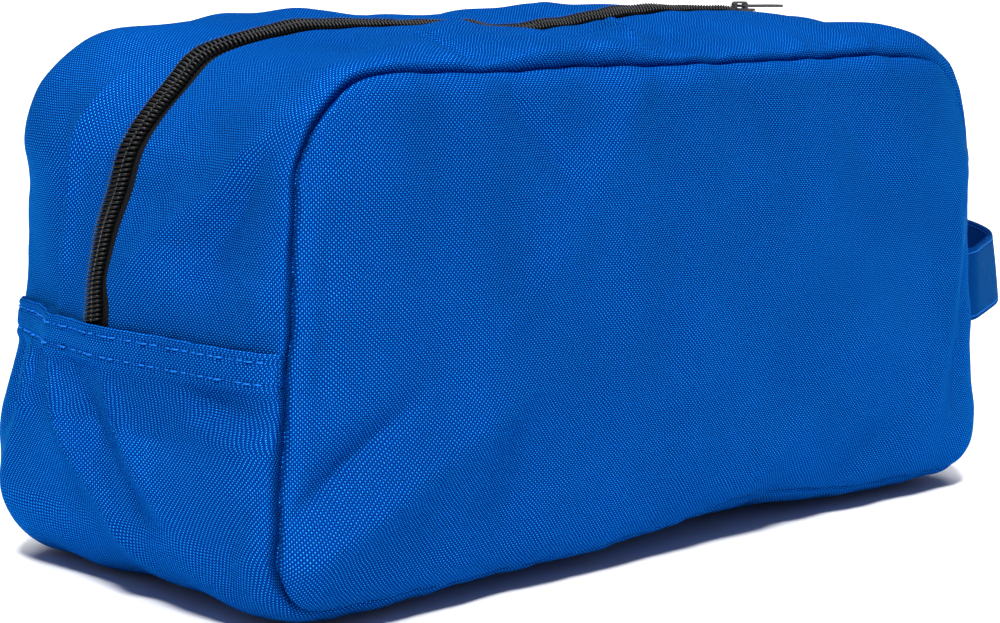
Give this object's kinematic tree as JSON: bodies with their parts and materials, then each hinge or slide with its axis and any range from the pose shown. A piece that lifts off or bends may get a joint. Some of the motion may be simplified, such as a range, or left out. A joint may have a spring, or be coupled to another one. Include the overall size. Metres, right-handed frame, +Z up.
{
  "type": "golf shoe bag",
  "caption": "Soft boxy zipped bag of woven polyester for carrying shoes, with a zip over the top and down both ends and a fabric carry handle on one end.",
  "frame": {"origin": "middle of the flat base, on the surface that the bag stands on", "axes": "+X along the length towards the end with the carry handle, -Y to the front panel, +Z up"},
  "size_m": [0.4391, 0.173, 0.1945],
  "materials": {
    "shell": "royal blue woven polyester with a slight sheen",
    "strap": "royal blue woven polyester strap with edge stitching",
    "binding": "dark woven seam binding",
    "zip_tape": "near-black knitted zip tape",
    "zip_coil": "near-black nylon coil",
    "slider_metal": "black enamelled zinc"
  },
  "bodies": {
    "bag": {"back_panel": "shell", "base_gusset": "shell", "front_panel": "shell", "handle_tab_back": "strap", "handle_tab_front": "strap", "seam_binding_back": "binding", "seam_binding_front": "binding", "zip_coil_back_left": "zip_coil", "zip_coil_back_right": "zip_coil", "zip_coil_front_left": "zip_coil", "zip_coil_front_right": "zip_coil", "zip_strip_back_left": "shell", "zip_strip_back_right": "shell", "zip_strip_front_left": "shell", "zip_strip_front_right": "shell", "zip_tape_back_left": "zip_tape", "zip_tape_back_right": "zip_tape", "zip_tape_front_left": "zip_tape", "zip_tape_front_right": "zip_tape"},
    "front_lip": {"zip_strip_front_lip": "shell", "zip_tape_front_lip": "zip_tape", "zip_coil_front_lip": "zip_coil"},
    "back_lip": {"zip_strip_back_lip": "shell", "zip_tape_back_lip": "zip_tape", "zip_coil_back_lip": "zip_coil"},
    "slider": {"zip_slider": "slider_metal"},
    "pull": {"pull_tab": "slider_metal"},
    "handle": {"handle_loop": "strap"}
  },
  "joints": [
    {"name": "front_lip_fold", "type": "hinge", "parent": "bag", "child": "front_lip", "pos_m": [0, -0.076, 0.1785], "axis": [1, 0, 0], "range_deg": [0, 75]},
    {"name": "back_lip_fold", "type": "hinge", "parent": "bag", "child": "back_lip", "pos_m": [0, 0.076, 0.1785], "axis": [-1, 0, 0], "range_deg": [0, 75]},
    {"name": "zip_travel", "type": "slide", "parent": "bag", "child": "slider", "axis": [-1, 0, 0], "range_m": [0, 0.224]},
    {"name": "pull_flip", "type": "hinge", "parent": "slider", "child": "pull", "pos_m": [0.112, 0, 0.19265], "axis": [0, -1, 0], "range_deg": [0, 175]},
    {"name": "handle_swing", "type": "hinge", "parent": "bag", "child": "handle", "pos_m": [0.17532, 0, 0.082], "axis": [0, -1, 0], "range_deg": [-25, 25]}
  ]
}
